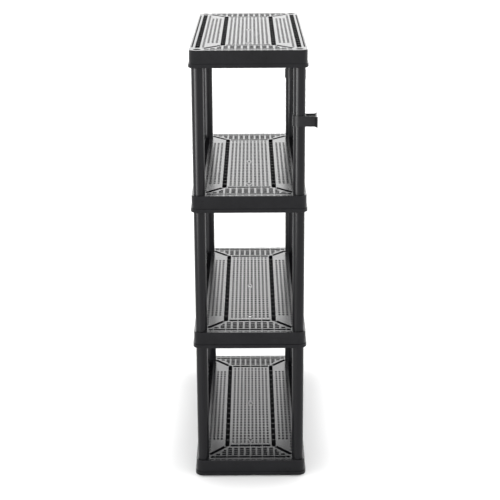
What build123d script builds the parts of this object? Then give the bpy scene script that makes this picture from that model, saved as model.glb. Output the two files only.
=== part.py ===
from build123d import *
import math
import os

# Four-tier ventilated shelving unit moulded in polypropylene.
# Frame: X across the narrow side, Y along the long side, +Z up.
# The origin is on the floor, at the centre of the shelf footprint.

# Overall
HEIGHT = 1384.0
SHELF_COUNT = 4

# Shelf shell
SHELF_X = 352.0
SHELF_Y = 908.0
SHELF_HEIGHT = 52.0
CORNER_R = 24.0
WALL = 2.5
TOP_EDGE_R = 1.8
LIP_PROUD = 3.0
LIP_HEIGHT = 11.5
LIP_EDGE = 1.0

# Posts: a wide tube that stands on the deck, with a narrow spigot below it
POST_D = 36.5
POST_WALL = 2.2
SPIGOT_D = 22.9
SPIGOT_LENGTH = 22.0

# Corner bosses of a shelf: a narrow socket from above, a wide one from below
SOCKET_GAP = 0.05
SOCKET_WALL = 4.4
SOCKET_DROP = 1.5
UPPER_SOCKET_DEPTH = 24.0
SOCKET_WEB = 4.0

# Feet
FOOT_PROUD = 3.5
FOOT_PLUG = 18.0
FOOT_EDGE_R = 3.2

# Ventilated panels: columns across X, rows along Y
COLUMN_PITCH = 12.9
ROW_PITCH = 21.5
CENTRE_COLUMNS = 5
SIDE_COLUMNS = 4
SIDE_FIRST_X = 96.5
PANEL_ROWS = 14
OUTER_COLUMN_ROWS = 18
SLOT_X = 6.8
SLOT_Y = 12.5
SHORT_SLOT_Y = 8.0
SHORT_ROWS = (130.0, 144.0)

# The bars between those slots slope down on each side of a narrow flat land
BAR_LAND = 3.0
BAR_DROP = 0.6

# Grille in the trapezoid at each end
GRILLE_PITCH = 19.25
GRILLE_ROWS = (44.5, 59.0, 73.5, 88.0)
GRILLE_SLOT = (13.0, 11.0)
GRILLE_PART_SLOT = 8.0
GRILLE_EDGE = 3.0

# Slots close to the rim
RIM_INSET = 7.5
RIM_SLOT_WIDTH = 5.0
RIM_END_SLOT = 14.0
RIM_SIDE_SLOT = 19.0
RIM_END_SLOTS = 7
RIM_SIDE_SLOTS = 18

# Stiffening channels sunk in the deck
CHANNEL_DEPTH = 14.0
INNER_CHANNEL_X = 77.0
INNER_CHANNEL_WIDTH = 14.5
OUTER_CHANNEL_WIDTH = 14.5
OUTER_CHANNEL_INSET = 54.0
END_CHANNEL_INSET = 26.5
END_CHANNEL_WIDTH = 12.0
END_CHANNEL_X = 130.0
CROSS_CHANNEL_INSET = 110.0
CROSS_CHANNEL_WIDTH = 14.0
DIAGONAL_START = (133.0, 45.0)
DIAGONAL_WIDTH = 13.5
RING_R = 11.0
WELL_R = 7.5
RIB = 2.0
RIB_PITCH = 2 * ROW_PITCH
END_RIB_PITCH = 2 * GRILLE_PITCH

# Ribs across the underside, one below each bar between slots
UNDER_RIB = 1.6
UNDER_RIB_DEPTH = 9.0
UNDER_RIBS_EACH_WAY = 16

# Diamond at the middle of the deck and an arrowhead near each end, all outlines
DIAMOND = (11.0, 22.0)
DIAMOND_HOLE = (4.5, 10.0)
ARROW_HALF_WIDTH = 12.5
ARROW_INSETS = (130.0, 160.5)
ARROW_HOLE_HALF_WIDTH = 6.5
ARROW_HOLE_INSETS = (143.0, 157.0)

# Pockets in the lip beside the sockets
POCKET_X = (95.0, 131.0)
POCKET_WIDTH = 2.0
POCKET_DEPTH = 8.0

# Tool clips on the two right-hand posts
CLIP_WALL = 2.8
CLIP_GAP = 0.1
CLIP_HEIGHT = 32.0
CLIP_Z = 1170.5
CLIP_REACH = 47.0
CLIP_FLARE = (5.5, 15.0)

# Derived
POST_R = POST_D / 2
SPIGOT_R = SPIGOT_D / 2
BOSS_R = POST_R + SOCKET_GAP + SOCKET_WALL
POST_X = SHELF_X / 2 - CORNER_R
POST_Y = SHELF_Y / 2 - CORNER_R
BASE_SHELF_Z = SHELF_HEIGHT + SOCKET_DROP + FOOT_PROUD
SHELF_PITCH = (HEIGHT - BASE_SHELF_Z) / (SHELF_COUNT - 1)
LOWER_SOCKET_TOP = UPPER_SOCKET_DEPTH + SOCKET_WEB
CORNERS = {
    "front_left": (-POST_X, -POST_Y),
    "front_right": (POST_X, -POST_Y),
    "back_left": (-POST_X, POST_Y),
    "back_right": (POST_X, POST_Y),
}


def deck_z(tier):
    """Height of the deck's top face, with tier 1 the lowest."""
    return BASE_SHELF_Z + (tier - 1) * SHELF_PITCH


def steps(count, pitch):
    """Centres of a row of count features on each side of zero, half a pitch off it."""
    half = [(i + 0.5) * pitch for i in range(count)]
    return [-v for v in reversed(half)] + half


def from_end(inset):
    """The two Y values that lie this far in from the ends of the shelf."""
    return (inset - SHELF_Y / 2, SHELF_Y / 2 - inset)


def slots(xs, ys, width, length):
    """Rectangles of one size centred on every pair of xs and ys."""
    return [Pos(x, y) * Rectangle(width, length) for x in xs for y in ys]


def both_signs(values):
    return [-v for v in values] + list(values)


def slot_cutter():
    """Cuts one slot at the origin, with both of its ends sloping down into it."""
    edge = SLOT_Y / 2
    slope = (ROW_PITCH / 2 - BAR_LAND / 2 - edge) / BAR_DROP
    over = 1.0
    top = edge + (BAR_DROP + over) * slope
    outline = [
        (-edge, -WALL - over),
        (edge, -WALL - over),
        (edge, -BAR_DROP),
        (top, over),
        (-top, over),
        (-edge, -BAR_DROP),
    ]
    side_view = make_face(Polyline(*outline, close=True))
    return extrude(Plane.YZ * side_view, SLOT_X / 2, both=True)


def panel_cutters():
    """The long ventilated panels: one in the centre and one on each side."""
    centre = steps(CENTRE_COLUMNS, COLUMN_PITCH)
    side = both_signs([SIDE_FIRST_X + i * COLUMN_PITCH for i in range(SIDE_COLUMNS - 1)])
    outer = SIDE_FIRST_X + (SIDE_COLUMNS - 1) * COLUMN_PITCH
    places = [(x, y) for x in centre + side for y in steps(PANEL_ROWS, ROW_PITCH)]
    places += [(x, y) for x in (-outer, outer) for y in steps(OUTER_COLUMN_ROWS, ROW_PITCH)]
    cutter = slot_cutter()
    return [Pos(x, y, 0) * cutter for x, y in places]


def short_slots():
    """The last rows of the centre panel, past the end of its columns."""
    rows = [y for inset in SHORT_ROWS for y in from_end(inset)]
    return slots(steps(CENTRE_COLUMNS, COLUMN_PITCH), rows, SLOT_X, SHORT_SLOT_Y)


def diamond(half_x, half_y):
    return Polygon((half_x, 0), (0, half_y), (-half_x, 0), (0, -half_y), align=None)


def arrow(half_width, insets, side):
    """A triangle on the centre line, pointing to the end of the deck on this side."""
    tip, base = [side * (SHELF_Y / 2 - inset) for inset in insets]
    return Polygon((0, tip), (half_width, base), (-half_width, base), align=None)


def marks():
    return [diamond(*DIAMOND)] + [arrow(ARROW_HALF_WIDTH, ARROW_INSETS, s) for s in (-1, 1)]


def mark_holes():
    arrows = [arrow(ARROW_HOLE_HALF_WIDTH, ARROW_HOLE_INSETS, s) for s in (-1, 1)]
    return [diamond(*DIAMOND_HOLE)] + arrows


def diagonal_edge(inset):
    """Where the inner edge of the diagonal channel is at this distance from the end."""
    x0, e0 = DIAGONAL_START
    x1, e1 = INNER_CHANNEL_X, CROSS_CHANNEL_INSET
    slope = (x1 - x0) / (e1 - e0)
    half_width = DIAGONAL_WIDTH / 2 * math.hypot(slope, 1)
    return x0 + slope * (inset - e0) - half_width


def grille_slots():
    """The trapezoid grille at each end, kept clear of the diagonal channels."""
    width, length = GRILLE_SLOT
    found = []
    for inset in GRILLE_ROWS:
        room = diagonal_edge(inset + length / 2) - GRILLE_EDGE
        count = int((room - width / 2) / GRILLE_PITCH + 0.5)
        found += slots(steps(count, GRILLE_PITCH), from_end(inset), width, length)
        start = (count + 0.5) * GRILLE_PITCH - width / 2
        if room - start >= GRILLE_PART_SLOT:
            middle = start + GRILLE_PART_SLOT / 2
            found += slots((-middle, middle), from_end(inset), GRILLE_PART_SLOT, length)
    return found


def rim_slots():
    """The run of narrow slots just inside the rim."""
    side_x = SHELF_X / 2 - RIM_INSET
    ends = slots(steps(RIM_END_SLOTS, GRILLE_PITCH), from_end(RIM_INSET),
                 RIM_END_SLOT, RIM_SLOT_WIDTH)
    sides = slots((-side_x, side_x), steps(RIM_SIDE_SLOTS, ROW_PITCH),
                  RIM_SLOT_WIDTH, RIM_SIDE_SLOT)
    return ends + sides


def bar(start, end, width):
    """A straight strip between two points."""
    (x0, y0), (x1, y1) = start, end
    length = math.hypot(x1 - x0, y1 - y0)
    angle = math.degrees(math.atan2(y1 - y0, x1 - x0))
    return Pos((x0 + x1) / 2, (y0 + y1) / 2) * Rot(0, 0, angle) * Rectangle(length, width)


def channel_plan(grow=0.0):
    """Plan of all the sunk channels, widened by grow on every side."""
    ring_y = SHELF_Y / 2 - CROSS_CHANNEL_INSET
    outer_y = SHELF_Y / 2 - OUTER_CHANNEL_INSET
    plan = Sketch()
    for sx in (-1, 1):
        for sy in (-1, 1):
            corner = (sx * DIAGONAL_START[0], sy * (SHELF_Y / 2 - DIAGONAL_START[1]))
            ring = (sx * INNER_CHANNEL_X, sy * ring_y)
            plan += bar(corner, ring, DIAGONAL_WIDTH + 2 * grow)
    for y in from_end(CROSS_CHANNEL_INSET):
        width = CROSS_CHANNEL_WIDTH + 2 * grow
        plan += bar((-INNER_CHANNEL_X, y), (INNER_CHANNEL_X, y), width)
    for x in (-INNER_CHANNEL_X, INNER_CHANNEL_X):
        for y in (-ring_y, ring_y):
            if grow:
                plan += Pos(x, y) * Circle(RING_R)
            else:
                plan -= Pos(x, y) * Circle(RING_R)
                plan += Pos(x, y) * Circle(WELL_R)
        plan += bar((x, -ring_y), (x, ring_y), INNER_CHANNEL_WIDTH + 2 * grow)
    for x in (-POST_X, POST_X):
        reach = outer_y + grow
        plan += bar((x, -reach), (x, reach), OUTER_CHANNEL_WIDTH + 2 * grow)
    for y in from_end(END_CHANNEL_INSET):
        reach = END_CHANNEL_X + grow
        plan += bar((-reach, y), (reach, y), END_CHANNEL_WIDTH + 2 * grow)
    return plan


def channel_ribs():
    """Thin webs that cross the channels, flush with the deck."""
    long_rows = [i * RIB_PITCH for i in range(-9, 10)]
    inner_rows = [y for y in long_rows if abs(y) < SHELF_Y / 2 - CROSS_CHANNEL_INSET - RING_R]
    across = [i * END_RIB_PITCH for i in range(-3, 4)]
    inner_across = [x for x in across if abs(x) < INNER_CHANNEL_X - RING_R]
    inner = slots((-INNER_CHANNEL_X, INNER_CHANNEL_X), inner_rows,
                  INNER_CHANNEL_WIDTH + WALL, RIB)
    outer = slots((-POST_X, POST_X), long_rows, OUTER_CHANNEL_WIDTH + WALL, RIB)
    ends = slots(across, from_end(END_CHANNEL_INSET), RIB, END_CHANNEL_WIDTH + WALL)
    cross = slots(inner_across, from_end(CROSS_CHANNEL_INSET), RIB, CROSS_CHANNEL_WIDTH + WALL)
    return inner + outer + ends + cross


def lower(z):
    """The horizontal plane at this height below the deck's top face."""
    return Plane.XY.offset(z)


def shell():
    """The closed block of the shelf with its lip, then hollowed from below."""
    body = extrude(lower(-SHELF_HEIGHT) * RectangleRounded(SHELF_X, SHELF_Y, CORNER_R), SHELF_HEIGHT)
    body = fillet(body.edges().group_by(Axis.Z)[-1], TOP_EDGE_R)
    lip_plan = RectangleRounded(SHELF_X + 2 * LIP_PROUD, SHELF_Y + 2 * LIP_PROUD,
                                CORNER_R + LIP_PROUD)
    lip = extrude(lower(-SHELF_HEIGHT) * lip_plan, LIP_HEIGHT)
    lip = fillet(lip.edges().group_by(Axis.Z)[-1] + lip.edges().group_by(Axis.Z)[0], LIP_EDGE)
    inner_plan = RectangleRounded(SHELF_X - 2 * WALL, SHELF_Y - 2 * WALL, CORNER_R - WALL)
    hollow = extrude(lower(-SHELF_HEIGHT - 1) * inner_plan, SHELF_HEIGHT + 1 - WALL)
    return body + lip - hollow


def under_ribs():
    """Ribs across the underside below the bars, stopping at the skirt."""
    each_way = UNDER_RIBS_EACH_WAY
    rows = [i * ROW_PITCH for i in range(-each_way, each_way + 1)]
    for inset, after in zip(GRILLE_ROWS, GRILLE_ROWS[1:]):
        rows += from_end((inset + after) / 2)
    strips = slots([0], rows, SHELF_X - WALL, UNDER_RIB)
    return [extrude(lower(-UNDER_RIB_DEPTH) * s, UNDER_RIB_DEPTH - WALL / 2) for s in strips]


def lip_pockets():
    """Short pockets sunk behind the lip at each end."""
    middle = sum(POCKET_X) / 2
    size = POCKET_X[1] - POCKET_X[0]
    y = SHELF_Y / 2 + LIP_PROUD / 2 - POCKET_WIDTH / 4
    plan = slots((-middle, middle), (-y, y), size, POCKET_WIDTH)
    top = LIP_HEIGHT - SHELF_HEIGHT + 1
    return [extrude(lower(top - POCKET_DEPTH) * p, POCKET_DEPTH) for p in plan]


def deck_plate(plan, over=0.0):
    """A flat piece as thick as the deck, taller by over at both faces."""
    return extrude(lower(-WALL - over) * plan, WALL + 2 * over)


def make_shelf():
    """One moulded shelf, with its deck's top face at Z = 0."""
    drop = SHELF_HEIGHT + SOCKET_DROP
    solid = shell()
    trough = extrude(lower(-CHANNEL_DEPTH - WALL) * channel_plan(WALL), CHANNEL_DEPTH)
    solid += trough
    solid += under_ribs()
    for x, y in CORNERS.values():
        solid += Pos(x, y, -drop / 2 - WALL / 4) * Cylinder(BOSS_R, drop - WALL / 2)
    solid -= extrude(lower(-CHANNEL_DEPTH) * channel_plan(), CHANNEL_DEPTH + 1)
    ribs = [extrude(lower(-CHANNEL_DEPTH - WALL / 2) * r, CHANNEL_DEPTH + WALL / 2)
            for r in channel_ribs()]
    solid += ribs
    for x, y in CORNERS.values():
        upper = Cylinder(SPIGOT_R + SOCKET_GAP, UPPER_SOCKET_DEPTH + 1)
        wide = Cylinder(POST_R + SOCKET_GAP, drop - LOWER_SOCKET_TOP + 1)
        solid -= Pos(x, y, (1 - UPPER_SOCKET_DEPTH) / 2) * upper
        solid -= Pos(x, y, -(drop + 1 + LOWER_SOCKET_TOP) / 2) * wide
    solid -= lip_pockets()
    solid -= panel_cutters()
    openings = short_slots() + grille_slots() + rim_slots()
    solid -= [deck_plate(o, 1) for o in openings]
    solid += [deck_plate(m) for m in marks()]
    solid -= [deck_plate(h, 1) for h in mark_holes()]
    return solid


def make_post():
    """A tube with its shoulder at Z = 0 and its spigot below."""
    length = SHELF_PITCH - LOWER_SOCKET_TOP
    outline = [
        (SPIGOT_R - POST_WALL, -SPIGOT_LENGTH),
        (SPIGOT_R, -SPIGOT_LENGTH),
        (SPIGOT_R, 0),
        (POST_R, 0),
        (POST_R, length),
        (POST_R - POST_WALL, length),
        (POST_R - POST_WALL, POST_WALL),
        (SPIGOT_R - POST_WALL, POST_WALL),
    ]
    side_view = make_face(Polyline(*outline, close=True))
    return revolve(Plane.XZ * side_view, Axis.Z)


def make_foot():
    """A plug for the lowest sockets, standing on the floor at Z = 0."""
    height = FOOT_PROUD + FOOT_PLUG
    plug = extrude(Circle(POST_R), height)
    plug = fillet(plug.edges().group_by(Axis.Z)[0], FOOT_EDGE_R)
    return chamfer(plug.edges().group_by(Axis.Z)[-1], 1.0)


def make_clip():
    """A collar with two prongs that reach out along +X, centred on the post's axis."""
    inner = POST_R + CLIP_GAP
    middle = inner + CLIP_WALL / 2
    plan = Circle(inner + CLIP_WALL) - Circle(inner)
    for side in (-1, 1):
        root = (0, side * middle)
        bend = (CLIP_REACH, side * middle)
        tip = (CLIP_REACH + CLIP_FLARE[0], side * (middle + CLIP_FLARE[1]))
        plan += bar(root, bend, CLIP_WALL)
        plan += bar(bend, tip, CLIP_WALL)
        plan += Pos(*bend) * Circle(CLIP_WALL / 2)
        plan += Pos(*tip) * Circle(CLIP_WALL / 2)
    plan -= Circle(inner)
    return extrude(lower(-CLIP_HEIGHT / 2) * plan, CLIP_HEIGHT)


def write(shape, name):
    solids = shape.solids()
    whole = solids[0] if len(solids) == 1 else Compound(solids)
    export_step(whole, f"parts/{name}.step", write_pcurves=False)


os.makedirs("parts", exist_ok=True)

shelf = make_shelf()
for tier in range(1, SHELF_COUNT + 1):
    write(Pos(0, 0, deck_z(tier)) * shelf, f"shelf_{tier}")

post = make_post()
for bay in range(1, SHELF_COUNT):
    for corner, (x, y) in CORNERS.items():
        write(Pos(x, y, deck_z(bay)) * post, f"post_{bay}_{corner}")

foot = make_foot()
for corner, (x, y) in CORNERS.items():
    write(Pos(x, y, 0) * foot, f"foot_{corner}")

clip = make_clip()
for side in ("front", "back"):
    x, y = CORNERS[f"{side}_right"]
    write(Pos(x, y, CLIP_Z) * clip, f"tool_clip_{side}")
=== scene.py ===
import bpy
import math
from mathutils import Euler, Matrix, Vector

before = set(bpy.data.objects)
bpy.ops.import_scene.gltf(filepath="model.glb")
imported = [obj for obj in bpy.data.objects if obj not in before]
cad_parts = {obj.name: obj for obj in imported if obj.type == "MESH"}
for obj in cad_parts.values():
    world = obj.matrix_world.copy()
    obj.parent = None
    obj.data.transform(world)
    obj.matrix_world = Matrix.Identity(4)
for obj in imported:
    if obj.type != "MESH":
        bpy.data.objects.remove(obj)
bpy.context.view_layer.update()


# ---------------------------------------------------------------- plastic: black polypropylene

BLACK = ((0.0030, 0.0030, 0.0037), (0.0062, 0.0062, 0.0075))
SOFTER_BLACK = ((0.0050, 0.0050, 0.0056), (0.0090, 0.0090, 0.0102))
IOR = 1.49
SPECULAR_LEVEL = 0.19
EVEN = (1.0, 1.0, 1.0)
DRAWN_ALONG_Z = (1.0, 1.0, 0.04)
# each noise: its scale per metre, detail and roughness
FLOW_MARKS = (9.0, 3.0, 0.55)
PATCHES = (60.0, 4.0, 0.6)
GRAIN = (1000.0 / 0.9, 3.0, 0.6)
FLOW_SHARE = 0.6
PATCH_SHARE = 0.7
TONE_SPREAD = (0.35, 0.65)
GLOSS_SPREAD = (0.3, 0.7)
MOULD_GRAIN_M = 20e-6
TUBE_GRAIN_M = 8e-6
LEVEL_GRAIN_SHARE = 0.25
# the height of a face's normal, from the lowest to the highest that counts
LEVEL = (0.5, 0.8)
NEARLY_FLAT = (0.95, 0.97)
UP = (0.0, 0.0, 1.0)

# ---------------------------------------------------------------- studio

FLOOR_SIDE = 80.0
FLOOR_TONES = ((0.90, 0.90, 0.90), (0.92, 0.92, 0.92))
# the studio wall's strength by the height of the direction looked in: it rises, then falls
WALL_RISE = (0.17, 0.38, 2.5, 6.2)
WALL_FALL = (0.41, 0.64, 1.0, 0.10)
TOP_BAY_END = (0.0, -0.45, 1.22)
KEY_PLACE = (-2.5, -2.5, 1.22)
KEY_SIZE = (1.2, 2.4)
KEY_WATTS = 160
FILL_PLACE = (-1.5, -3.3, 1.22)
FILL_SIZE = (1.6, 2.4)
FILL_WATTS = 40
CAMERA_PLACE = (0.0094, -4.2444, 1.9446)
CAMERA_TILT, CAMERA_YAW, CAMERA_ROLL = 17.21, 0.112, -0.322
LENS_MM = 92.9
SENSOR_MM = 36.0
FARTHEST = 200.0


# ---------------------------------------------------------------- node helpers


class Nodes:
    """Adds nodes to a material or world and links them, with short calls."""

    def __init__(self, owner):
        owner.use_nodes = True
        self.tree = owner.node_tree
        self.tree.nodes.clear()

    def add(self, kind, links=None, **settings):
        """A setting is one of the node's own, or else the value of its input of that name."""
        node = self.tree.nodes.new(kind)
        for key, value in settings.items():
            if hasattr(node, key):
                setattr(node, key, value)
            else:
                node.inputs[key].default_value = value
        for name, source in (links or {}).items():
            self.tree.links.new(source, node.inputs[name])
        return node

    def noise(self, where, scale, detail=2.0, roughness=0.5):
        node = self.add("ShaderNodeTexNoise", {"Vector": where}, Scale=scale, Detail=detail)
        node.inputs["Roughness"].default_value = roughness
        return node.outputs["Fac"]

    def ramp(self, value, low, high, to_low, to_high, easing="LINEAR"):
        node = self.add("ShaderNodeMapRange", {"Value": value}, interpolation_type=easing)
        limits = {"From Min": low, "From Max": high, "To Min": to_low, "To Max": to_high}
        for name, number in limits.items():
            node.inputs[name].default_value = number
        return node.outputs["Result"]

    def math(self, operation, a, b):
        node = self.add("ShaderNodeMath", operation=operation)
        for socket, value in zip(node.inputs, (a, b)):
            if isinstance(value, (int, float)):
                socket.default_value = value
            else:
                self.tree.links.new(value, socket)
        return node.outputs["Value"]

    def weigh(self, a, b, share):
        """A share of a, and the rest of b."""
        parts = self.math("MULTIPLY", a, share), self.math("MULTIPLY", b, 1.0 - share)
        return self.math("ADD", *parts)

    def mix(self, factor, a, b):
        node = self.add("ShaderNodeMix", {"Factor": factor}, data_type="RGBA")
        node.inputs["A"].default_value = (*a, 1.0)
        node.inputs["B"].default_value = (*b, 1.0)
        return node.outputs["Result"]


def plastic(name, tones, gloss, side_gloss, stretch=EVEN, grain_depth=MOULD_GRAIN_M):
    """Black moulded polypropylene.

    Faint flow marks change its tone, and its gloss is uneven. Upright faces have a rougher
    spark-eroded grain than level ones. The gentle slopes of the bars between the deck's slots
    are shaded as level. stretch draws the marks out along an axis.
    """
    material = bpy.data.materials.new(name)
    n = Nodes(material)
    place = n.add("ShaderNodeTexCoord").outputs["Object"]
    where = n.add("ShaderNodeMapping", {"Vector": place}, Scale=stretch).outputs["Vector"]
    patches = n.noise(where, *PATCHES)
    grain = n.noise(place, *GRAIN)

    tone = n.weigh(n.noise(where, *FLOW_MARKS), patches, FLOW_SHARE)
    colour = n.mix(n.ramp(tone, *TONE_SPREAD, 0.0, 1.0), *tones)

    facing = n.add("ShaderNodeNewGeometry").outputs["Normal"]
    upward = n.add("ShaderNodeSeparateXYZ", {"Vector": facing}).outputs["Z"]
    level = n.ramp(n.math("ABSOLUTE", upward, 0.0), *LEVEL, 0.0, 1.0)
    uneven = n.weigh(patches, grain, PATCH_SHARE)
    rough = n.ramp(uneven, *GLOSS_SPREAD, *side_gloss)
    smooth = n.ramp(uneven, *GLOSS_SPREAD, *gloss)
    blend = n.add("ShaderNodeMix", {"Factor": level, "A": rough, "B": smooth}, data_type="FLOAT")

    nearly_flat = n.ramp(upward, *NEARLY_FLAT, 0.0, 1.0)
    ways = {"Factor": nearly_flat, "A": facing}
    eased = n.add("ShaderNodeMix", ways, data_type="VECTOR", B=UP).outputs["Result"]
    bump = n.add("ShaderNodeBump", {"Height": grain, "Normal": eased}, Strength=1.0)
    depth = n.ramp(level, 0.0, 1.0, grain_depth, grain_depth * LEVEL_GRAIN_SHARE)
    n.tree.links.new(depth, bump.inputs["Distance"])

    sockets = {
        "Base Color": colour,
        "Roughness": blend.outputs["Result"],
        "Normal": bump.outputs["Normal"],
    }
    shader = n.add("ShaderNodeBsdfPrincipled", sockets)
    shader.inputs["IOR"].default_value = IOR
    shader.inputs["Specular IOR Level"].default_value = SPECULAR_LEVEL
    n.add("ShaderNodeOutputMaterial", {"Surface": shader.outputs["BSDF"]})
    return material


# ---------------------------------------------------------------- the object


def nodes_named(start):
    return [piece for name, piece in sorted(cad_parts.items()) if name.startswith(start)]


def dress(pieces, material):
    """Gives CAD nodes their material."""
    for piece in pieces:
        piece.data.materials.clear()
        piece.data.materials.append(material)


posts = nodes_named("post_")
clips = nodes_named("tool_clip")
dress(
    nodes_named("shelf_"),
    plastic("shelf_polypropylene", BLACK, gloss=(0.19, 0.27), side_gloss=(0.26, 0.36)),
)
dress(
    posts,
    plastic("post_polypropylene", BLACK, gloss=(0.26, 0.34), side_gloss=(0.24, 0.32),
            stretch=DRAWN_ALONG_Z, grain_depth=TUBE_GRAIN_M),
)
dress(
    nodes_named("foot_"),
    plastic("foot_polypropylene", BLACK, gloss=(0.42, 0.55), side_gloss=(0.42, 0.55)),
)
dress(
    clips,
    plastic("clip_polypropylene", SOFTER_BLACK, gloss=(0.32, 0.42), side_gloss=(0.34, 0.46)),
)


# ---------------------------------------------------------------- floor, light and camera


def make_floor():
    """A plain pale floor that is clear from below, so the underside can be seen."""
    bpy.ops.mesh.primitive_plane_add(size=FLOOR_SIDE, location=(0, 0, 0))
    floor = bpy.context.object
    floor.name = "studio_floor"
    material = bpy.data.materials.new("studio_floor")
    n = Nodes(material)
    where = n.add("ShaderNodeTexCoord").outputs["Object"]
    colour = n.mix(n.noise(where, 3.0), *FLOOR_TONES)
    shader = n.add("ShaderNodeBsdfPrincipled", {"Base Color": colour})
    shader.inputs["Roughness"].default_value = 0.9
    shader.inputs["Specular IOR Level"].default_value = 0.0
    clear = n.add("ShaderNodeBsdfTransparent")
    below = n.add("ShaderNodeNewGeometry").outputs["Backfacing"]
    both = n.add("ShaderNodeMixShader", {"Fac": below})
    n.tree.links.new(shader.outputs["BSDF"], both.inputs[1])
    n.tree.links.new(clear.outputs["BSDF"], both.inputs[2])
    n.add("ShaderNodeOutputMaterial", {"Surface": both.outputs["Shader"]})
    floor.data.materials.append(material)


def make_world():
    """A white studio that is brightest a little above eye level, the same all round."""
    world = bpy.data.worlds.new("studio")
    bpy.context.scene.world = world
    n = Nodes(world)
    direction = n.add("ShaderNodeTexCoord").outputs["Generated"]
    height = n.add("ShaderNodeSeparateXYZ", {"Vector": direction}).outputs["Z"]
    rise = n.ramp(height, *WALL_RISE, easing="SMOOTHSTEP")
    fall = n.ramp(height, *WALL_FALL, easing="SMOOTHSTEP")
    strength = n.math("MULTIPLY", rise, fall)
    background = n.add("ShaderNodeBackground", {"Strength": strength})
    n.add("ShaderNodeOutputWorld", {"Surface": background.outputs["Background"]})


def soft_light(name, place, size, watts, lit):
    """A panel that puts a sheen on the pieces in the collection lit, and nothing else."""
    data = bpy.data.lights.new(name, "AREA")
    data.shape = "RECTANGLE"
    data.size, data.size_y = size
    data.energy = watts
    light = bpy.data.objects.new(name, data)
    light.location = place
    towards = Vector(TOP_BAY_END) - Vector(place)
    light.rotation_euler = towards.to_track_quat("-Z", "Y").to_euler()
    bpy.context.scene.collection.objects.link(light)
    light.light_linking.receiver_collection = lit
    light.visible_diffuse = False
    light.visible_camera = False


def make_camera():
    data = bpy.data.cameras.new("camera")
    data.sensor_width = SENSOR_MM
    data.lens = LENS_MM
    data.clip_end = FARTHEST
    camera = bpy.data.objects.new("camera", data)
    camera.location = CAMERA_PLACE
    camera.rotation_mode = "QUATERNION"
    tilt, yaw, roll = (math.radians(turn) for turn in (CAMERA_TILT, CAMERA_YAW, CAMERA_ROLL))
    aimed = Euler((math.pi / 2 - tilt, 0.0, yaw), "XYZ").to_quaternion()
    camera.rotation_quaternion = aimed @ Euler((0.0, 0.0, roll), "XYZ").to_quaternion()
    bpy.context.scene.collection.objects.link(camera)
    bpy.context.scene.camera = camera


make_floor()
make_world()
uprights = bpy.data.collections.new("uprights")
for piece in posts + clips:
    uprights.objects.link(piece)
soft_light("key_left", KEY_PLACE, KEY_SIZE, KEY_WATTS, uprights)
soft_light("fill_left", FILL_PLACE, FILL_SIZE, FILL_WATTS, uprights)
make_camera()
bpy.context.scene.view_settings.view_transform = "Standard"
